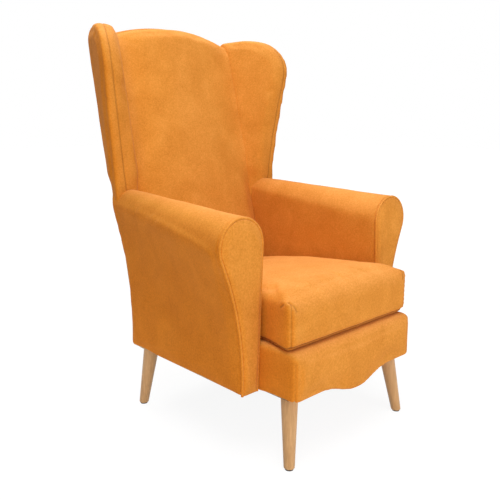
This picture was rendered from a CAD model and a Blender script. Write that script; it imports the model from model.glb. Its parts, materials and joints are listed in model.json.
import json
import math

import bpy
import numpy as np
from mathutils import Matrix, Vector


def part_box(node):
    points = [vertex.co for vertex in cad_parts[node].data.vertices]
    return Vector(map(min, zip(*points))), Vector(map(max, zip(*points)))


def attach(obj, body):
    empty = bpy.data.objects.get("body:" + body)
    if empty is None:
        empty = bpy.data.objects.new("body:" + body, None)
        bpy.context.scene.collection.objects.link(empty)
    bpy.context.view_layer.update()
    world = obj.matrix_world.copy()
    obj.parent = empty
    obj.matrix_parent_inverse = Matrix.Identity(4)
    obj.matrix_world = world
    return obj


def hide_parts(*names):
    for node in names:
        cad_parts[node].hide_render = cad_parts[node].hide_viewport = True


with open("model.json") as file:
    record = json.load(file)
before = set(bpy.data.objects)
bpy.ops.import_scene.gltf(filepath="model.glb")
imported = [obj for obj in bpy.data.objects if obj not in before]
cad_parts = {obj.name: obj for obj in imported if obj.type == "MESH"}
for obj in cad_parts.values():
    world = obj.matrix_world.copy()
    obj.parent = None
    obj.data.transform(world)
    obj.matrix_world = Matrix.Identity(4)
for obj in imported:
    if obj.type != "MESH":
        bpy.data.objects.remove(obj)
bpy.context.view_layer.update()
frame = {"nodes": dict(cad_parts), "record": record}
print("frame loaded with", len(frame["nodes"]), "nodes")


# Shared helpers. Metres throughout. The front is -Y and the sitter's left is +X.

def selectOnly(obj):
    bpy.ops.object.select_all(action="DESELECT")
    obj.select_set(True)
    bpy.context.view_layer.objects.active = obj


def getPoints(obj):
    flat = np.empty(len(obj.data.vertices) * 3)
    obj.data.vertices.foreach_get("co", flat)
    return flat.reshape(-1, 3)


def setPoints(obj, points):
    obj.data.vertices.foreach_set("co", np.ascontiguousarray(points).ravel())
    obj.data.update()


def getNormals(obj):
    flat = np.empty(len(obj.data.vertices) * 3)
    obj.data.vertices.foreach_get("normal", flat)
    return flat.reshape(-1, 3)


def inEditMode(obj, *steps):
    selectOnly(obj)
    bpy.ops.object.mode_set(mode="EDIT")
    bpy.ops.mesh.select_all(action="SELECT")
    for step, options in steps:
        step(**options)
    bpy.ops.object.mode_set(mode="OBJECT")


def deletePoints(obj, chosen):
    selectOnly(obj)
    bpy.ops.object.mode_set(mode="EDIT")
    bpy.ops.mesh.select_mode(type="VERT")
    bpy.ops.mesh.select_all(action="DESELECT")
    bpy.ops.object.mode_set(mode="OBJECT")
    obj.data.vertices.foreach_set("select", chosen)
    bpy.ops.object.mode_set(mode="EDIT")
    bpy.ops.mesh.delete(type="VERT")
    bpy.ops.object.mode_set(mode="OBJECT")


def applyModifier(obj, kind, **values):
    modifier = obj.modifiers.new(kind, kind)
    for key, value in values.items():
        setattr(modifier, key, value)
    selectOnly(obj)
    bpy.ops.object.modifier_apply(modifier=modifier.name)


def blockForm(name, cuts, place):        # a cube cut up and shaped by place(x, y, z), each from -1 to 1
    bpy.ops.object.select_all(action="DESELECT")
    bpy.ops.mesh.primitive_cube_add(size=2)
    obj = bpy.context.object
    obj.name = name
    inEditMode(obj, (bpy.ops.mesh.subdivide, {"number_cuts": cuts}))
    setPoints(obj, np.column_stack(place(*getPoints(obj).T)))
    return obj


def gridForm(name, cuts, place):         # a flat grid shaped by place(x, y), each from -1 to 1
    bpy.ops.object.select_all(action="DESELECT")
    bpy.ops.mesh.primitive_grid_add(x_subdivisions=cuts, y_subdivisions=cuts, size=2)
    obj = bpy.context.object
    obj.name = name
    x, y, z = getPoints(obj).T
    setPoints(obj, np.column_stack(place(x, y)))
    return obj


def tubeForm(name, around, rows, place):  # a capped cylinder shaped by place(turn, along), each from 0 to 1
    bpy.ops.object.select_all(action="DESELECT")
    bpy.ops.mesh.primitive_cylinder_add(vertices=around, radius=1, depth=2, end_fill_type="NGON")
    obj = bpy.context.object
    obj.name = name
    points = getPoints(obj)
    bpy.ops.object.mode_set(mode="EDIT")
    bpy.ops.mesh.select_mode(type="EDGE")
    bpy.ops.mesh.select_all(action="DESELECT")
    bpy.ops.object.mode_set(mode="OBJECT")
    for edge in obj.data.edges:
        low, high = edge.vertices
        edge.select = bool(abs(points[low][2] - points[high][2]) > 1)
    bpy.ops.object.mode_set(mode="EDIT")
    bpy.ops.mesh.subdivide(number_cuts=rows)
    bpy.ops.mesh.select_mode(type="VERT")
    bpy.ops.object.mode_set(mode="OBJECT")
    x, y, z = getPoints(obj).T
    turn = (np.arctan2(y, x) / (2 * math.pi)) % 1
    setPoints(obj, np.column_stack(place(turn, (z + 1) / 2)))
    inEditMode(obj, (bpy.ops.mesh.normals_make_consistent, {"inside": False}))
    return obj


def prismForm(name, outline, run):       # an outline pulled along run
    bpy.ops.object.select_all(action="DESELECT")
    bpy.ops.mesh.primitive_circle_add(vertices=len(outline), fill_type="NGON")
    obj = bpy.context.object
    obj.name = name
    setPoints(obj, np.array(outline))
    inEditMode(
        obj,
        (bpy.ops.mesh.extrude_region_move, {"TRANSFORM_OT_translate": {"value": run}}),
        (bpy.ops.mesh.select_all, {"action": "SELECT"}),
        (bpy.ops.mesh.normals_make_consistent, {"inside": False}),
    )
    return obj


def joinForms(first, *others):
    selectOnly(first)
    for other in others:
        other.select_set(True)
    bpy.ops.object.join()
    return first


def smoothPoints(obj, repeat):
    inEditMode(obj, (bpy.ops.mesh.vertices_smooth, {"factor": 0.5, "repeat": repeat}))


stuffing = {                             # how the cloth behaves while it is blown up
    "quality": 4,
    "mass": 0.25,
    "tension_stiffness": 12,
    "compression_stiffness": 12,
    "bending_stiffness": 0.8,
    "use_pressure": True,
}
stuffingFrames = 20


def puff(obj, soft, limit, finish=True):
    # remesh, round the edges, blow the cover up like stuffing, then keep each point near its start
    selectOnly(obj)
    obj.data.remesh_voxel_size = soft["voxel"]
    bpy.ops.object.voxel_remesh()
    smoothPoints(obj, soft["rounding"])
    start = getPoints(obj)
    normals = getNormals(obj)
    cloth = obj.modifiers.new("Cloth", "CLOTH")
    for key, value in stuffing.items():
        setattr(cloth.settings, key, value)
    cloth.settings.uniform_pressure_force = soft["pressure"]
    cloth.settings.effector_weights.gravity = 0
    cloth.collision_settings.use_collision = False
    cloth.point_cache.frame_start = 1
    cloth.point_cache.frame_end = stuffingFrames
    for number in range(1, stuffingFrames + 1):
        bpy.context.scene.frame_set(number)
    selectOnly(obj)
    bpy.ops.object.modifier_apply(modifier="Cloth")
    bpy.context.scene.frame_set(1)
    move = getPoints(obj) - start
    length = np.linalg.norm(move, axis=1, keepdims=True)
    move *= np.minimum(1, soft["cap"] / np.maximum(length, 1e-9))
    sunk = np.minimum(np.sum(move * normals, axis=1) + soft["draw"], 0)
    setPoints(obj, limit(start, start + move - normals * sunk[:, None]))
    if soft["settle"]:                   # takes out the buckles that the pressure leaves
        smoothPoints(obj, soft["settle"])
    if finish:
        applyModifier(obj, "SUBSURF", levels=1, render_levels=1)
    bpy.ops.object.shade_smooth()
    obj.data.attributes.new("seam", "FLOAT", "POINT")
    print(obj.name, "puffed,", len(obj.data.polygons), "faces")
    return obj


stitch = {
    "step": 0.008,          # a path is laid on the cover at this spacing
    "gatherWide": 4,        # the gathers reach this many seam widths
    "darkWide": 0.6,
    "sway": (2.1, 0.031),   # how unevenly the gathers are spaced
}


def sewSeam(obj, path, depth, width, pucker=0.0, pitch=0.012, dark=1.0):
    # draws the cover in along a path, with small gathers across it
    stops = [np.array(place) for place in path]
    path = [stops[0]]
    for start, end in zip(stops[:-1], stops[1:]):
        steps = math.ceil(np.linalg.norm(end - start) / stitch["step"])
        path += [start + (end - start) * step / steps for step in range(1, steps + 1)]
    path = [np.array(obj.closest_point_on_mesh(place)[1]) for place in path]
    points = getPoints(obj)
    best = np.full(len(points), 1e9)
    along = np.zeros(len(points))
    run = 0.0
    for start, end in zip(path[:-1], path[1:]):
        line = end - start
        length = max(np.linalg.norm(line), 1e-6)
        share = np.clip((points - start) @ line / length ** 2, 0, 1)
        gap = np.linalg.norm(points - start - share[:, None] * line, axis=1)
        nearer = gap < best
        best[nearer] = gap[nearer]
        along[nearer] = run + share[nearer] * length
        run += length
    draw = np.exp(-(best / width) ** 2)
    gather = np.exp(-(best / (stitch["gatherWide"] * width)) ** 2) * pucker
    sway, swayRun = stitch["sway"]
    beat = np.sin(2 * math.pi * along / pitch + sway * np.sin(along / swayRun))
    setPoints(obj, points - getNormals(obj) * (draw * depth + gather * beat)[:, None])
    seam = obj.data.attributes["seam"]
    old = np.empty(len(points))
    seam.data.foreach_get("value", old)
    shade = dark * np.exp(-(best / (stitch["darkWide"] * width)) ** 2)
    seam.data.foreach_set("value", np.maximum(old, shade))
    obj.data.update()


def rumple(obj, height, size):           # slow soft waves over a cover
    points = getPoints(obj)
    wave = np.zeros(len(points))
    for turn in range(8):
        angle, lift = 2.4 * turn, math.sin(1.7 * turn)
        way = np.array([math.cos(angle), math.sin(angle), lift]) / math.hypot(1, lift)
        wave += np.sin(points @ way * 2 * math.pi / (size * (0.6 + 0.17 * turn)) + 1.3 * turn)
    setPoints(obj, points + getNormals(obj) * (height * wave / 3)[:, None])


def roundEdge(first, second, radius):    # depths inside two faces that meet, eased round their edge
    u = np.clip(1 - first / radius, 0, 1)
    v = np.clip(1 - second / radius, 0, 1)
    ease = np.maximum(u, v) / np.maximum(np.hypot(u, v), 1e-9)
    near = (u > 0) & (v > 0)
    return np.where(near, radius * (1 - u * ease), first), np.where(near, radius * (1 - v * ease), second)


def mirrorPiece(obj, name):
    copy = obj.copy()
    copy.data = obj.data.copy()
    copy.name = name
    bpy.context.scene.collection.objects.link(copy)
    points = getPoints(copy)
    points[:, 0] *= -1
    setPoints(copy, points)
    copy.data.flip_normals()
    return copy


def arcThrough(a, b, c, count):          # points of the circle through three points, from a to c
    (ax, ay), (bx, by), (cx, cy) = a, b, c
    d = 2 * (ax * (by - cy) + bx * (cy - ay) + cx * (ay - by))
    sa, sb, sc = ax * ax + ay * ay, bx * bx + by * by, cx * cx + cy * cy
    mx = (sa * (by - cy) + sb * (cy - ay) + sc * (ay - by)) / d
    my = (sa * (cx - bx) + sb * (ax - cx) + sc * (bx - ax)) / d
    first = math.atan2(ay - my, ax - mx)
    turn = (math.atan2(cy - my, cx - mx) - first + math.pi) % (2 * math.pi) - math.pi
    radius = math.hypot(ax - mx, ay - my)
    angles = [first + turn * step / count for step in range(count + 1)]
    points = [(mx + radius * math.cos(angle), my + radius * math.sin(angle)) for angle in angles]
    heading = angles[-1] + math.copysign(math.pi / 2, turn)
    return points, (math.cos(heading), math.sin(heading))


def arcOnward(start, heading, end, count):  # an arc that leaves start along heading and reaches end
    hx, hy = heading
    dx, dy = end[0] - start[0], end[1] - start[1]
    side = hx * dy - hy * dx
    radius = (dx * dx + dy * dy) / (2 * side)
    centre = (start[0] - hy * radius, start[1] + hx * radius)
    middle = 2 * math.atan2(side, hx * dx + hy * dy)
    first = math.atan2(start[1] - centre[1], start[0] - centre[0])
    angles = [first + middle * step / count for step in range(count + 1)]
    reach = abs(radius)
    points = [(centre[0] + reach * math.cos(a), centre[1] + reach * math.sin(a)) for a in angles]
    c, s = math.cos(middle), math.sin(middle)
    return points, (hx * c - hy * s, hx * s + hy * c)


cornerInset = 0.29                       # a seam round a corner runs this share of the radius inside it


# Rear face, shared by the arms, wings and back

rear = {
    "lowY": 0.203,
    "kneeZ": 0.261,
    "kneeSoft": 0.03,
    "rake": 12.66,          # degrees
    "cornerR": 0.045,
}


def rearY(z):                            # upright and then raked, with a soft knee
    above = z - rear["kneeZ"]
    soft = (np.sqrt(above ** 2 + rear["kneeSoft"] ** 2) + above) / 2
    return rear["lowY"] + math.tan(math.radians(rear["rake"])) * soft


# Arms

arm = {
    "frontY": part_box("arm_cover_left")[0].y,
    "tailY": 0.298,
    "innerX": 0.2355,       # foot of the inner side
    "footX": (0.290, 0.278),
    "stemX": (0.290, 0.270),
    "headX": (0.290, 0.258),
    "headZ": (0.521, 0.581),
    "headR": (0.069, 0.036),
    "flareZ": (0.200, 0.400),
    "bottomZ": 0.1683,
    "innerRoom": 0.0255,     # inside this the cover doesn't swell, for the cushion
    "ease": 0.03,
    "shrink": 0.0006,
    "voxel": 0.006,
    "rounding": 3,
    "cap": 0.004,
    "draw": 0.0008,
    "settle": 1,
    "pressure": 4.0,
}


def armLoop(turn, y, inset):             # the keyhole outline: bottom, outer side, flare, roll, inner side
    share = (y - arm["frontY"]) / (arm["tailY"] - arm["frontY"])

    def along(key):
        return arm[key][0] + share * (arm[key][1] - arm[key][0])

    headX, headZ, headR = along("headX"), along("headZ"), along("headR")
    stemX, flareZ = along("stemX"), along("flareZ")
    lean = stemX - headX
    rise = headZ - flareZ
    flareR = (lean ** 2 + rise ** 2 - headR ** 2) / (2 * (headR - lean))
    flareX = stemX + flareR
    touch = np.arctan2(flareZ - headZ, flareX - headX)
    dropX = arm["innerX"] - headX
    dropZ = arm["bottomZ"] - headZ
    leave = np.arctan2(dropZ, dropX) + 2 * math.pi - np.arccos(headR / np.hypot(dropX, dropZ))
    rollTopX = headX + (headR - inset) * np.cos(leave)
    rollTopZ = headZ + (headR - inset) * np.sin(leave)
    innerX = rollTopX - (arm["bottomZ"] - rollTopZ) * np.tan(leave)
    outerX = along("footX") - inset
    ends = (0.10, 0.20, 0.42, 0.78, 1.0)
    starts = (0.0,) + ends[:-1]
    part = [np.clip((turn - low) / (high - low), 0, 1) for low, high in zip(starts, ends)]
    where = [turn < end for end in ends[:-1]]
    flareAngle = math.pi + touch * part[2]
    rollAngle = touch + (leave - touch) * part[3]
    x = np.select(where, [
        innerX + (outerX - innerX) * part[0],
        outerX + (stemX - inset - outerX) * part[1],
        flareX + (flareR + inset) * np.cos(flareAngle),
        headX + (headR - inset) * np.cos(rollAngle),
    ], rollTopX + (innerX - rollTopX) * part[4])
    z = np.select(where, [
        arm["bottomZ"] + 0 * turn,
        arm["bottomZ"] + (flareZ - arm["bottomZ"]) * part[1],
        flareZ + (flareR + inset) * np.sin(flareAngle),
        headZ + (headR - inset) * np.sin(rollAngle),
    ], rollTopZ + (arm["bottomZ"] - rollTopZ) * part[4])
    return x, z


def armPlace(turn, along):
    inset = arm["shrink"]
    y = arm["frontY"] + along * (rearY(0.45) - arm["frontY"])
    for _ in range(4):                   # the rear end leans with the back
        x, z = armLoop(turn, y, inset)
        y = arm["frontY"] + along * (rearY(z) - inset - arm["frontY"])
    front, tail = [headX + headR for headX, headR in zip(arm["headX"], arm["headR"])]
    taper = (tail - front) / (arm["tailY"] - arm["frontY"])
    side = front + taper * (y - arm["frontY"]) - inset
    cornerR = rear["cornerR"]
    near = np.clip(cornerR - (rearY(z) - inset - y), 0, cornerR)
    x = np.minimum(x, side - cornerR + np.sqrt(cornerR ** 2 - near ** 2))
    return x, y, z


def makeArm():
    def limit(start, points):
        front = np.clip((start[:, 1] - arm["frontY"]) / arm["ease"], 0, 1)[:, None]
        points = start + (points - start) * front
        inner = np.clip((arm["innerX"] + arm["innerRoom"] - start[:, 0]) / arm["ease"], 0, 1)
        points[:, 0] += inner * np.maximum(start[:, 0] - points[:, 0], 0)
        points[:, 2] = np.maximum(points[:, 2], arm["bottomZ"])
        return points

    obj = tubeForm("armUpholstery_left", 110, 60, armPlace)
    puff(obj, arm, limit)
    rumple(obj, 0.0005, 0.09)
    return obj


facing = {
    "frontY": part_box("arm_welt_left")[0].y,
    "inset": 0.0060,
    "thick": 0.0065,
    "weltR": 0.0034,
    "voxel": 0.0032,
    "rounding": 2,
    "cap": 0.004,
    "draw": 0.0005,
    "settle": 0,
    "pressure": 3.0,
}


def facingLoop(inset, y, count):
    turn = np.arange(count) / count
    x, z = armLoop(turn, np.full(count, arm["frontY"]), inset)
    return turn, np.column_stack([x, np.full(count, y), z])


def makeFacing():
    backY = facing["frontY"] + facing["thick"]
    turn, loop = facingLoop(facing["inset"], backY, 160)
    obj = prismForm("armFacing_left", loop, (0, -facing["thick"], 0))

    def limit(start, points):
        points[:, 1] = np.minimum(points[:, 1], backY)
        points[:, [0, 2]] = start[:, [0, 2]]
        return points

    puff(obj, facing, limit, finish=False)
    turn, edge = facingLoop(facing["inset"] + 0.004, facing["frontY"], 160)
    sewSeam(obj, list(edge[68:150]), 0.0, 0.0035, pucker=0.0005, pitch=0.0085, dark=0.0)
    return obj


def makeWelt():
    count = 170
    turn, loop = facingLoop(facing["weltR"], facing["frontY"] + facing["weltR"], count)
    bpy.ops.object.select_all(action="DESELECT")
    bpy.ops.mesh.primitive_circle_add(vertices=count)
    obj = bpy.context.object
    obj.name = "armWelt_left"
    setPoints(obj, loop)
    deletePoints(obj, (turn > 0) & (turn < 0.10))    # no welt along the bottom
    selectOnly(obj)
    bpy.ops.object.convert(target="CURVE")
    obj.data.bevel_depth = facing["weltR"]
    obj.data.bevel_resolution = 4
    obj.data.use_fill_caps = True
    bpy.ops.object.convert(target="MESH")
    bpy.ops.object.shade_smooth()
    obj.data.attributes.new("seam", "FLOAT", "POINT")
    return obj


# Wings

wing = {
    "footY": 0.207,
    "footDip": 0.070,       # runs this far down into the arm
    "waist": (0.200, 0.770),
    "cheek": (0.183, 0.930),
    "top": (0.300, 1.056),
    "backZ": 1.037,
    "swell": 0.005,         # makes up for what the rounding takes off
    "rootX": 0.2212,
    "rootDepth": 0.050,
    "rootTuck": 0.012,      # runs this far in behind the inside back
    "outerX": 0.293,
    "tipX": (0.298, 0.352),
    "reach": 0.170,
    "cornerR": 0.031,       # sharper than the shared corner, for the rounding
    "overreach": 0.02,      # the wedge runs on past the front edge
    "cutZ": (0.45, 1.15),   # and from below to above the wing
    "shrink": 0.0015,
    "voxel": 0.006,
    "rounding": 30,
    "cap": 0.006,
    "draw": 0.001,
    "settle": 2,
    "pressure": 4.0,
}


def armTop(y):
    share = (y - arm["frontY"]) / (arm["tailY"] - arm["frontY"])
    top = [arm["headZ"][end] + arm["headR"][end] for end in (0, 1)]
    return top[0] + share * (top[1] - top[0])


def wingEdge(swell):                     # front and top edge in the side view, from the arm to the rear
    foot = (wing["footY"], armTop(wing["footY"]) - wing["footDip"])
    front, heading = arcThrough(foot, wing["waist"], wing["cheek"], 14)
    cap, heading = arcOnward(front[-1], heading, wing["top"], 16)
    tail = (rearY(1.08) + 0.05, wing["backZ"])
    crest, heading = arcOnward(cap[-1], heading, tail, 8)
    edge = front + cap[1:] + crest[1:]
    pushed = []
    for before, here, after in zip(edge[:1] + edge[:-1], edge, edge[1:] + edge[-1:]):
        run, rise = after[0] - before[0], after[1] - before[1]
        length = math.hypot(run, rise)
        pushed.append((here[0] - swell * rise / length, here[1] + swell * run / length))
    return pushed


def wingPlan(depth):                     # inner and outer x of the wing at a distance ahead of the rear face
    forward = np.clip((depth - wing["rootDepth"]) / (wing["reach"] - wing["rootDepth"]), 0, 1.2)
    innerX = wing["rootX"] + forward * (wing["tipX"][0] - wing["rootX"])
    outerX = wing["outerX"] + depth / wing["reach"] * (wing["tipX"][1] - wing["outerX"])
    return innerX, outerX


def makeWing():
    edge = wingEdge(wing["swell"])
    tailY, tailZ = edge[-1]
    outline = edge + [(tailY, armTop(tailY) - wing["footDip"])]
    side = prismForm("wingUpholstery_left", [(0.15, y, z) for y, z in outline], (0.3, 0, 0))
    lowZ, highZ = wing["cutZ"]
    ends = [rearY(z) - wing["shrink"] for z in (lowZ, highZ)]
    reach = wing["reach"] + wing["overreach"]
    innerX, outerX = wingPlan(reach)
    cornerR = wing["cornerR"]
    corner = [(wing["outerX"] - cornerR * (1 - math.sin(a)), -cornerR * (1 - math.cos(a)))
              for a in (0.0, 0.4, 0.8, 1.2, math.pi / 2)]
    tuckX = wing["rootX"] - wing["rootTuck"]
    slant = (wing["reach"] - wing["rootDepth"]) / (wing["tipX"][0] - wing["rootX"])
    plan = [(tuckX, 0)] + corner
    plan += [(outerX, -reach), (innerX, -reach), (tuckX, slant * wing["rootTuck"] - wing["rootDepth"])]
    foot = [(x, ends[0] + y, lowZ) for x, y in plan]
    wedge = prismForm("wedge", foot, (0, ends[1] - ends[0], highZ - lowZ))
    applyModifier(side, "BOOLEAN", operation="INTERSECT", object=wedge)
    bpy.data.objects.remove(wedge)

    def limit(start, points):
        rise = np.clip((start[:, 2] - armTop(start[:, 1]) - 0.005) / 0.03, 0, 1)[:, None]
        points = start + (points - start) * rise
        points[:, 0] = np.maximum(points[:, 0], tuckX)
        points[:, 1] = np.minimum(points[:, 1], rearY(points[:, 2]))
        return points

    obj = puff(side, wing, limit)
    rumple(obj, 0.0004, 0.08)
    seam = []
    for y, z in wingEdge(0)[1:-6]:
        innerX, outerX = wingPlan(rearY(z) - y)
        seam.append((0.5 * (innerX + outerX), y, z))
    sewSeam(obj, seam, 0.0012, 0.0032, pucker=0.00022, pitch=0.012, dark=0.55)
    return obj


# Back

back = {
    "half": 0.2205,         # half width between the wings
    "tuck": 0.009,          # runs this far into the wings and arms
    "lip": 0.012,           # how far its edges come forward to meet the wings
    "lipWide": 0.035,
    "lipZ": (0.57, 0.68),
    "frontY": 0.123,        # inside back at the deck
    "frontRake": 14.04,
    "baseZ": 0.2855,
    "crown": 0.030,
    "topZ": 1.080,
    "archRise": 0.037,
    "topR": 0.022,
    "rearGap": 0.006,
    "skirtHalf": 0.2348,    # half width of the outside at the bottom
    "skirtZ": (0.170, 0.570),
    "shrink": 0.004,
    "voxel": 0.0065,
    "rounding": 5,
    "cap": 0.007,
    "draw": 0.001,
    "settle": 2,
    "pressure": 4.0,
}


def archTop(x):
    return back["topZ"] - back["archRise"] * (x / back["half"]) ** 2


def backPlace(x, y, z):
    px = x * (back["half"] + back["tuck"])
    pz = back["baseZ"] + (z + 1) / 2 * (archTop(px) - back["shrink"] - back["baseZ"])
    front = back["frontY"] + math.tan(math.radians(back["frontRake"])) * (pz - back["baseZ"]) + back["shrink"]
    front = front + back["crown"] * (px / back["half"]) ** 2
    low, high = back["lipZ"]
    edge = np.clip(1 - (back["half"] - np.abs(px)) / back["lipWide"], 0, 1.2)
    front = front - back["lip"] * edge ** 2 * np.clip((pz - low) / (high - low), 0, 1)
    rearEnd = rearY(pz) - back["rearGap"]
    topZ = archTop(px) - back["shrink"]
    depth, drop = roundEdge((y + 1) / 2 * (rearEnd - front), topZ - pz, back["topR"])
    return px, front + depth, topZ - drop


def makeBack():
    obj = blockForm("insideBack", 40, backPlace)
    wide = back["half"] + back["tuck"]

    def limit(start, points):
        points[:, 0] = np.clip(points[:, 0], -wide, wide)
        points[:, 1] = np.minimum(points[:, 1], rearY(points[:, 2]) - back["rearGap"] / 2)
        points[:, 2] = np.maximum(points[:, 2], back["baseZ"])
        return points

    puff(obj, back, limit)
    rumple(obj, 0.0006, 0.13)
    return obj


def outerBackPlace(x, y):
    px = x * back["half"]
    pz = 0.170 + (y + 1) / 2 * (archTop(px) - 0.171)
    low, high = back["skirtZ"]
    flare = np.clip((high - pz) / (high - low), 0, 1)   # widens between the arms
    px = px * (1 + flare * (back["skirtHalf"] / back["half"] - 1))
    return px, rearY(pz) - 0.0015 + 0.004 * (1 - x ** 4) * (1 - y ** 6), pz


def makeOuterBack():
    obj = gridForm("outsideBack", 70, outerBackPlace)
    applyModifier(obj, "SOLIDIFY", thickness=0.0012, offset=0)
    bpy.ops.object.shade_smooth()
    obj.data.attributes.new("seam", "FLOAT", "POINT")
    return obj


# Seat base

base = {
    "half": 0.2328,
    "frontY": -0.3860,
    "topZ": 0.2848,
    "bottomZ": 0.1685,
    "apronDrop": 0.027,
    "shoulderHalf": 0.132,
    "apronThick": 0.030,
    "apronShare": 0.94,     # of the half width
    "apronLap": 0.05,       # runs this far up into the box
    "armLap": 0.012,        # the box ends this far behind the arm fronts
    "deckLap": 0.03,
    "frontEdgeR": 0.022,
    "cornerR": 0.012,
    "deckHalf": 0.2205,
    "deckRearY": 0.150,
    "deckThick": 0.02,
    "voxel": 0.0045,
    "rounding": 4,
    "cap": 0.004,
    "draw": 0.0004,
    "settle": 4,
    "pressure": 3.0,
}


def apronDrop(x):
    share = np.clip(np.abs(x) / base["shoulderHalf"], 0, 1)
    return base["apronDrop"] * (0.5 + 0.5 * np.cos(math.pi * share))


def makeBase():
    rearEnd = arm["frontY"] + base["armLap"]

    def boxPlace(x, y, z):
        side = base["half"] * (1 - np.abs(x))
        front = (y + 1) / 2 * (rearEnd - base["frontY"])
        drop = (1 - z) / 2 * (base["topZ"] - base["bottomZ"])
        front, drop = roundEdge(front, drop, base["frontEdgeR"])
        side, drop = roundEdge(side, drop, base["cornerR"])
        side, front = roundEdge(side, front, base["cornerR"])
        return np.sign(x) * (base["half"] - side), base["frontY"] + front, base["topZ"] - drop

    def apronPlace(x, y, z):
        px = x * base["apronShare"] * base["half"]
        py = base["frontY"] + (y + 1) / 2 * base["apronThick"]
        low = base["bottomZ"] - apronDrop(px)
        return px, py, low + (z + 1) / 2 * (base["bottomZ"] + base["apronLap"] - low)

    def deckPlace(x, y, z):
        lap = base["deckLap"]
        py = rearEnd - lap + (y + 1) / 2 * (base["deckRearY"] - rearEnd + lap)
        return x * base["deckHalf"], py, base["topZ"] - base["deckThick"] * (1 - z) / 2

    obj = blockForm("seatBase", 50, boxPlace)
    joinForms(obj, blockForm("apron", 60, apronPlace), blockForm("deck", 12, deckPlace))

    def limit(start, points):
        points[:, 2] = np.minimum(points[:, 2], base["topZ"])
        points[:, 0] = np.clip(points[:, 0], -base["half"] - 0.001, base["half"] + 0.001)
        return points

    puff(obj, base, limit)
    inset = cornerInset * base["cornerR"]
    for side in (-1, 1):
        x, y = side * (base["half"] - inset), base["frontY"] + inset
        path = [(x, y, base["bottomZ"]), (x, y, base["topZ"] - 0.02)]
        sewSeam(obj, path, 0.0012, 0.0034, dark=0.15)
    return obj


dust = {
    "half": 0.2250,
    "wide": 0.2700,
    "frontY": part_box("dust_cover")[0].y,
    "rearY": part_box("dust_cover")[1].y,
    "stepY": arm["frontY"] + 0.022,      # wider behind the arm fronts
    "z": 0.1674,
    "sag": 0.006,
    "legs": ((0.197, -0.335), (0.258, 0.128)),
    "holeR": 0.019,
}


def makeDustCover():
    length = dust["rearY"] - dust["frontY"]

    def place(x, y):
        py = dust["frontY"] + (y + 1) / 2 * length
        half = np.where(py < dust["stepY"], dust["half"], dust["wide"])
        return x * half, py, dust["z"] - dust["sag"] * (1 - x ** 2) * (1 - y ** 2)

    obj = gridForm("dustSheet", 120, place)
    points = getPoints(obj)
    gone = np.zeros(len(points), bool)
    for x, y in dust["legs"]:
        gone |= np.hypot(np.abs(points[:, 0]) - x, points[:, 1] - y) < dust["holeR"]
    deletePoints(obj, gone)
    applyModifier(obj, "SOLIDIFY", thickness=0.0008, offset=0)
    bpy.ops.object.shade_smooth()
    return obj


# Seat cushion

cushion = {
    "half": 0.2185,
    "frontHalf": 0.2335,
    "frontY": -0.3725,
    "taperY": (-0.345, -0.278),
    "bottomZ": 0.2864,
    "cornerZ": 0.405,
    "crown": 0.006,
    "ballR": 3.034,         # the top falls to the rear on a ball this big
    "ballY": -0.4295,
    "rearGap": 0.0125,
    "frontTopR": 0.044,
    "frontLowR": 0.019,
    "sideTopR": 0.022,
    "cornerR": 0.015,
    "ear": 0.008,           # how far the top front corners stick out
    "earR": 0.023,
    "earWay": (0.55, -0.45, 0.70),
    "voxel": 0.0055,
    "rounding": 4,
    "cap": 0.010,
    "draw": 0.001,
    "settle": 2,
    "pressure": 5.0,
}


def cushionRear(z):
    slope = math.tan(math.radians(back["frontRake"]))
    return back["frontY"] - cushion["rearGap"] + slope * (z - back["baseZ"])


def cushionHalf(y):
    low, high = cushion["taperY"]
    share = np.clip((y - low) / (high - low), 0, 1)
    return cushion["frontHalf"] + share * (cushion["half"] - cushion["frontHalf"])


def cushionTop(x, y):
    reach = cushion["half"] ** 2 + (cushion["frontY"] - cushion["ballY"]) ** 2
    return cushion["cornerZ"] + (reach - x ** 2 - (y - cushion["ballY"]) ** 2) / (2 * cushion["ballR"])


def cushionPlace(x, y, z):
    py = cushion["frontY"] + (y + 1) / 2 * (cushionRear(0.34) - cushion["frontY"])
    topZ = cushionTop(x * cushion["half"], py) + cushion["crown"] * (1 - x ** 2) ** 0.8 * (1 - y ** 2) ** 0.8
    rise = (z + 1) / 2 * (topZ - cushion["bottomZ"])
    rearEnd = cushionRear(cushion["bottomZ"] + rise) - 0.001
    py = cushion["frontY"] + (y + 1) / 2 * (rearEnd - cushion["frontY"])
    half = cushionHalf(py)
    side = half * (1 - np.abs(x))
    front = py - cushion["frontY"]
    drop = topZ - cushion["bottomZ"] - rise
    front, drop = roundEdge(front, drop, cushion["frontTopR"])
    rise = topZ - cushion["bottomZ"] - drop
    front, rise = roundEdge(front, rise, cushion["frontLowR"])
    drop = topZ - cushion["bottomZ"] - rise
    side, drop = roundEdge(side, drop, cushion["sideTopR"])
    side, front = roundEdge(side, front, cushion["cornerR"])
    return np.sign(x) * (half - side), cushion["frontY"] + front, topZ - drop


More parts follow.
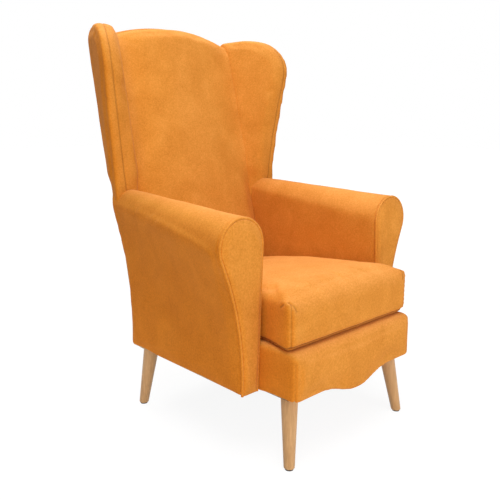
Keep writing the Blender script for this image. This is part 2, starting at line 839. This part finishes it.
def makeCushion():
    obj = blockForm("seatCushion", 60, cushionPlace)

    def limit(start, points):
        room = np.maximum(cushionHalf(start[:, 1]) + 0.0013, np.abs(start[:, 0]))
        points[:, 0] = np.clip(points[:, 0], -room, room)
        points[:, 1] = np.minimum(points[:, 1], np.maximum(start[:, 1], cushionRear(points[:, 2]) - 0.0005))
        points[:, 2] = np.maximum(points[:, 2], cushion["bottomZ"])
        return points

    puff(obj, cushion, limit)
    rumple(obj, 0.0007, 0.10)
    inset = cornerInset * cushion["cornerR"]
    top = cushion["cornerZ"]
    points = getPoints(obj)
    for side in (-1, 1):
        x, y = side * (cushion["frontHalf"] - inset), cushion["frontY"] + inset
        ear = np.array([x, y + 0.008, top - 0.010])
        pull = np.exp(-np.sum((points - ear) ** 2, axis=1) / cushion["earR"] ** 2)
        outX, outY, outZ = cushion["earWay"]
        points = points + pull[:, None] * cushion["ear"] * np.array([side * outX, outY, outZ])
    setPoints(obj, points)
    for side in (-1, 1):
        x, y = side * (cushion["frontHalf"] - inset), cushion["frontY"] + inset
        peak = (x - side * 0.005, y + 0.012, top - 0.008)
        path = [(x, y, cushion["bottomZ"]), (x, y, top - 0.030), peak]
        sewSeam(obj, path, 0.0022, 0.0030, pucker=0.0005, dark=0.5)
        folds = [(x, y + 0.034, top - 0.020), (x - side * 0.016, y, top - 0.026)]
        for tip in folds:                # a dog ear of two folds
            sewSeam(obj, [peak, tip], 0.0020, 0.0036, dark=0.6)
    reach, z = cushion["frontHalf"] - 0.003, cushion["bottomZ"] + 0.004
    half, frontY = cushion["half"], cushion["frontY"]
    hem = [(-half, -0.20, z), (-half, -0.28, z), (-reach, -0.34, z), (-reach, frontY + 0.010, z)]
    across = np.linspace(-reach + 0.008, reach - 0.008, 9)
    hem += [(x, frontY + 0.003, z) for x in across] + [(-x, y, z) for x, y, z in reversed(hem)]
    sewSeam(obj, hem, 0.0030, 0.0055, dark=1.0)
    return obj


# Materials

def newMaterial(name):
    material = bpy.data.materials.new(name)
    material.use_nodes = True
    return material, material.node_tree.nodes, material.node_tree.links


def noiseNode(nodes, links, scale, detail, stretch=(1, 1, 1), distortion=0.0):
    coords = nodes.new("ShaderNodeTexCoord")
    mapping = nodes.new("ShaderNodeMapping")
    mapping.inputs["Scale"].default_value = stretch
    noise = nodes.new("ShaderNodeTexNoise")
    noise.inputs["Scale"].default_value = scale
    noise.inputs["Detail"].default_value = detail
    noise.inputs["Distortion"].default_value = distortion
    links.new(coords.outputs["Object"], mapping.inputs["Vector"])
    links.new(mapping.outputs["Vector"], noise.inputs["Vector"])
    return noise


def rampNode(nodes, links, source, stops):
    ramp = nodes.new("ShaderNodeValToRGB")
    while len(ramp.color_ramp.elements) < len(stops):
        ramp.color_ramp.elements.new(0.5)
    for element, (place, colour) in zip(ramp.color_ramp.elements, stops):
        element.position = place
        element.color = (*colour, 1)
    links.new(source, ramp.inputs["Fac"])
    return ramp


def mixNode(nodes, links, factor, first, second, kind="MIX"):
    mix = nodes.new("ShaderNodeMix")
    mix.data_type = "RGBA"
    mix.blend_type = kind
    for socket, value in ((0, factor), (6, first), (7, second)):
        if isinstance(value, (int, float)):
            mix.inputs[socket].default_value = value
        elif isinstance(value, tuple):
            mix.inputs[socket].default_value = (*value, 1)
        else:
            links.new(value, mix.inputs[socket])
    return mix.outputs[2]


def bumpNode(nodes, links, height, strength, distance, shader):
    bump = nodes.new("ShaderNodeBump")
    bump.inputs["Strength"].default_value = strength
    bump.inputs["Distance"].default_value = distance
    links.new(height, bump.inputs["Height"])
    links.new(bump.outputs["Normal"], shader.inputs["Normal"])
    return bump


suede = {
    "deep": (0.640, 0.236, 0.040),
    "mid": (0.746, 0.299, 0.064),
    "bright": (0.852, 0.365, 0.095),
    "frontNap": (0.940, 0.885, 0.560),   # the pile lies another way on each face
    "sideNap": (0.980, 0.740, 0.240),
    "seam": (0.16, 0.036, 0.004),
    "cloudScale": 13.0,
    "fleckScale": 240.0,
    "grainScale": 1100.0,
}


def suedeMaterial():
    material, nodes, links = newMaterial("suedeCloth")
    shader = nodes["Principled BSDF"]
    shader.inputs["Roughness"].default_value = 0.88
    shader.inputs["Specular IOR Level"].default_value = 0.08
    shader.inputs["Sheen Weight"].default_value = 0.10
    shader.inputs["Sheen Roughness"].default_value = 0.5
    shader.inputs["Sheen Tint"].default_value = (1.0, 0.70, 0.42, 1)
    cloud = noiseNode(nodes, links, suede["cloudScale"], 5, distortion=0.7)
    fleck = noiseNode(nodes, links, suede["fleckScale"], 4, distortion=0.4)
    grain = noiseNode(nodes, links, suede["grainScale"], 2)
    mottle = mixNode(nodes, links, 0.60, cloud.outputs["Fac"], fleck.outputs["Fac"])
    stops = [(0.32, suede["deep"]), (0.50, suede["mid"]), (0.68, suede["bright"])]
    colour = rampNode(nodes, links, mottle, stops).outputs["Color"]
    tick = rampNode(nodes, links, grain.outputs["Fac"], [(0.3, (0.88, 0.88, 0.88)), (0.7, (1.0, 1.0, 1.0))])
    colour = mixNode(nodes, links, 1.0, colour, tick.outputs["Color"], "MULTIPLY")
    nap = nodes.new("ShaderNodeAttribute")
    nap.attribute_name = "nap"
    stops = [(0.0, suede["sideNap"]), (0.5, suede["frontNap"]), (1.0, (1.0, 1.0, 1.0))]
    lie = rampNode(nodes, links, nap.outputs["Fac"], stops)
    colour = mixNode(nodes, links, 1.0, colour, lie.outputs["Color"], "MULTIPLY")
    seam = nodes.new("ShaderNodeAttribute")
    seam.attribute_name = "seam"
    share = nodes.new("ShaderNodeMath")
    share.operation = "MULTIPLY"
    share.inputs[1].default_value = 0.85
    links.new(seam.outputs["Fac"], share.inputs[0])
    colour = mixNode(nodes, links, share.outputs[0], colour, suede["seam"])
    links.new(colour, shader.inputs["Base Color"])
    height = mixNode(nodes, links, 0.5, fleck.outputs["Fac"], grain.outputs["Fac"])
    bumpNode(nodes, links, height, 0.35, 0.0012, shader)
    return material


def brushNap(obj):                       # 1 on top, 0.5 in front and inside, 0 on the outer sides
    points, normals = getPoints(obj), getNormals(obj)
    outward = np.clip(np.sign(points[:, 0]) * normals[:, 0], 0, 1)
    upward = np.clip(normals[:, 2], 0, 1)
    nap = obj.data.attributes.new("nap", "FLOAT", "POINT")
    nap.data.foreach_set("value", 0.5 + 0.5 * (upward - outward))


def woodMaterial(name, pale, dark, roughness, grainScale, stretch):
    material, nodes, links = newMaterial(name)
    shader = nodes["Principled BSDF"]
    shader.inputs["Roughness"].default_value = roughness
    grain = noiseNode(nodes, links, grainScale, 6, stretch, distortion=0.6)
    flame = noiseNode(nodes, links, grainScale * 0.25, 3, stretch, distortion=1.2)
    both = mixNode(nodes, links, 0.4, grain.outputs["Fac"], flame.outputs["Fac"])
    colour = rampNode(nodes, links, both, [(0.35, dark), (0.65, pale)])
    links.new(colour.outputs["Color"], shader.inputs["Base Color"])
    bumpNode(nodes, links, grain.outputs["Fac"], 0.15, 0.0005, shader)
    return material


def plainMaterial(name, low, high, roughness, scale, bump, metallic=0.0, stretch=(1, 1, 1)):
    material, nodes, links = newMaterial(name)
    shader = nodes["Principled BSDF"]
    shader.inputs["Roughness"].default_value = roughness
    shader.inputs["Metallic"].default_value = metallic
    noise = noiseNode(nodes, links, scale, 4, stretch)
    colour = rampNode(nodes, links, noise.outputs["Fac"], [(0.35, low), (0.65, high)])
    links.new(colour.outputs["Color"], shader.inputs["Base Color"])
    bumpNode(nodes, links, noise.outputs["Fac"], bump, 0.0006, shader)
    return material


def makeMaterials():
    return {
        "suede_cloth": suedeMaterial(),
        "foam": plainMaterial("paleFoam", (0.72, 0.66, 0.48), (0.82, 0.77, 0.60), 0.95, 420, 0.6),
        "beech": woodMaterial(
            "beechLacquer", (0.64, 0.36, 0.150), (0.51, 0.265, 0.095), 0.42, 26, (9, 9, 0.5)),
        "frame_wood": woodMaterial(
            "planedPine", (0.66, 0.45, 0.22), (0.50, 0.31, 0.13), 0.7, 18, (0.6, 8, 8)),
        "plywood": woodMaterial("plywood", (0.60, 0.41, 0.21), (0.47, 0.30, 0.14), 0.75, 22, (6, 0.7, 6)),
        "steel": plainMaterial("zincSteel", (0.42, 0.43, 0.45), (0.60, 0.61, 0.63), 0.35, 160, 0.1, 1.0),
        "slider_metal": plainMaterial(
            "antiqueBrass", (0.38, 0.26, 0.09), (0.52, 0.37, 0.15), 0.35, 220, 0.1, 1.0),
        "glide_plastic": plainMaterial(
            "blackGlide", (0.012, 0.012, 0.012), (0.022, 0.022, 0.022), 0.5, 300, 0.2),
        "clip_plastic": plainMaterial("whiteClip", (0.62, 0.62, 0.58), (0.72, 0.72, 0.68), 0.5, 240, 0.15),
        "zip_tape": plainMaterial("zipTape", (0.28, 0.09, 0.014), (0.38, 0.13, 0.022), 0.85, 900, 0.7),
        "dust_cloth": plainMaterial("dustCloth", (0.012, 0.012, 0.013), (0.03, 0.03, 0.032), 0.9, 700, 0.6),
        "webbing": plainMaterial(
            "webbing", (0.09, 0.065, 0.045), (0.16, 0.12, 0.085), 0.9, 500, 0.8, 0.0, (1, 1, 4)),
    }


def dressFrame(materials):
    slots = {entry["node"]: entry["material_slot"] for entry in frame["record"]["subparts"]}
    for name, obj in frame["nodes"].items():
        obj.data.materials.clear()
        obj.data.materials.append(materials[slots[name]])


def dressPiece(obj, materials, slot, body, *nodes, fill=None):
    obj.data.materials.clear()
    obj.data.materials.append(materials[slot])
    if slot == "suede_cloth":
        brushNap(obj)
    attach(obj, body)
    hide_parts(*nodes)


# Stage

camera = {
    "place": (-1.2370, -1.2668, 0.8018),
    "turn": (80.935, -0.096, -43.354),
    "lens": 45.49,
    "shift": (0.0201, -0.0599),
}
lampAim = (0, 0, 0.4)
lamps = {                                # place, size in metres and power in watts
    "key": ((-0.9, -1.0, 3.3), 2.2, 80),
    "low": ((0.2, -2.0, 0.5), 1.4, 11.5),
    "near": ((-1.6, -1.9, 1.2), 1.6, 13.5),
    "far": ((1.6, -1.8, 1.0), 1.6, 4),
    "top": ((0.3, 1.2, 3.2), 2.0, 75),
}
sky = {
    "fill": (1.0, 0.88, 0.68),
    "strength": 0.05,
    "floorGlow": 1.06,
    "floorShare": (0.86, 1.0),           # under the chair and far off
    "floorReach": (1.0, 2.6),
}


def seenRays(nodes, links):              # 1 for what the eye sees straight on, in a shine or through glass
    rays = nodes.new("ShaderNodeLightPath")
    seen = rays.outputs["Is Camera Ray"]
    for name in ("Is Glossy Ray", "Is Transmission Ray"):
        either = nodes.new("ShaderNodeMath")
        either.operation = "MAXIMUM"
        links.new(seen, either.inputs[0])
        links.new(rays.outputs[name], either.inputs[1])
        seen = either.outputs[0]
    return seen


def makeStage():
    data = bpy.data.cameras.new("photoCamera")
    eye = bpy.data.objects.new("photoCamera", data)
    bpy.context.scene.collection.objects.link(eye)
    eye.location = camera["place"]
    eye.rotation_euler = [math.radians(angle) for angle in camera["turn"]]
    data.sensor_width = 36
    data.lens = camera["lens"]
    data.shift_x, data.shift_y = camera["shift"]
    bpy.context.scene.camera = eye
    for name, (place, size, power) in lamps.items():
        lamp = bpy.data.lights.new(name, "AREA")
        lamp.energy = power
        lamp.size = size
        obj = bpy.data.objects.new(name, lamp)
        bpy.context.scene.collection.objects.link(obj)
        obj.location = place
        toward = np.array(lampAim) - np.array(place)
        flat = math.hypot(toward[0], toward[1])
        obj.rotation_euler = (math.atan2(flat, -toward[2]), 0, math.atan2(-toward[0], toward[1]))
    bpy.ops.object.select_all(action="DESELECT")
    bpy.ops.mesh.primitive_plane_add(size=30)
    floor = bpy.context.object
    floor.name = "floor"
    material, nodes, links = newMaterial("paleFloor")
    shader = nodes["Principled BSDF"]
    shader.inputs["Base Color"].default_value = (0.9, 0.9, 0.9, 1)
    shader.inputs["Roughness"].default_value = 0.9
    glow = nodes.new("ShaderNodeEmission")
    glow.inputs["Strength"].default_value = sky["floorGlow"]
    part = nodes.new("ShaderNodeMath")
    part.operation = "MULTIPLY"
    links.new(seenRays(nodes, links), part.inputs[0])
    coords = nodes.new("ShaderNodeTexCoord")
    away = nodes.new("ShaderNodeVectorMath")
    away.operation = "LENGTH"
    fade = nodes.new("ShaderNodeMapRange")
    fade.inputs["From Min"].default_value, fade.inputs["From Max"].default_value = sky["floorReach"]
    fade.inputs["To Min"].default_value, fade.inputs["To Max"].default_value = sky["floorShare"]
    links.new(coords.outputs["Object"], away.inputs[0])
    links.new(away.outputs["Value"], fade.inputs["Value"])
    links.new(fade.outputs["Result"], part.inputs[1])
    blend = nodes.new("ShaderNodeMixShader")
    links.new(part.outputs[0], blend.inputs[0])
    links.new(shader.outputs[0], blend.inputs[1])
    links.new(glow.outputs[0], blend.inputs[2])
    links.new(blend.outputs[0], nodes["Material Output"].inputs["Surface"])
    floor.data.materials.append(material)
    world = bpy.data.worlds.new("studio")
    bpy.context.scene.world = world
    world.use_nodes = True
    nodes, links = world.node_tree.nodes, world.node_tree.links
    backdrop = nodes["Background"]
    seen = seenRays(nodes, links)
    strength = nodes.new("ShaderNodeMapRange")
    strength.inputs["To Min"].default_value = sky["strength"]
    strength.inputs["To Max"].default_value = 1.0
    links.new(seen, strength.inputs["Value"])
    links.new(strength.outputs["Result"], backdrop.inputs["Strength"])
    links.new(mixNode(nodes, links, seen, sky["fill"], (1.0, 1.0, 1.0)), backdrop.inputs["Color"])
    bpy.context.scene.view_settings.view_transform = "Standard"


materials = makeMaterials()
dressFrame(materials)
print("materials made")

armLeft = makeArm()
facingLeft = makeFacing()
weltLeft = makeWelt()
wingLeft = makeWing()
sides = {"left": [armLeft, facingLeft, weltLeft, wingLeft]}
sides["right"] = [mirrorPiece(piece, piece.name.replace("left", "right")) for piece in sides["left"]]
cloth = (materials, "suede_cloth", "chair")
for side, pieces in sides.items():
    dressPiece(pieces[0], *cloth, f"arm_cover_{side}", f"arm_pad_{side}", fill=0.8)
    dressPiece(pieces[1], *cloth, f"arm_facing_{side}", fill=0.9)
    dressPiece(pieces[2], *cloth, f"arm_welt_{side}")
    dressPiece(pieces[3], *cloth, f"wing_cover_{side}", f"wing_pad_{side}", fill=0.8)
print("arms and wings made")

dressPiece(makeBack(), *cloth, "back_inner_cover", "back_pad", fill=0.7)
outerBack = makeOuterBack()
dressPiece(outerBack, *cloth, "back_outer_cover")
print("back made")

dressPiece(makeBase(), *cloth, "base_cover", "apron_pad", "seat_deck_pad", fill=0.9)
dustSheet = makeDustCover()
dressPiece(dustSheet, materials, "dust_cloth", "chair", "dust_cover")
dressPiece(makeCushion(), materials, "suede_cloth", "seat_cushion", "cushion_cover", "cushion_foam", fill=0.7)
print("base and cushion made")

makeStage()
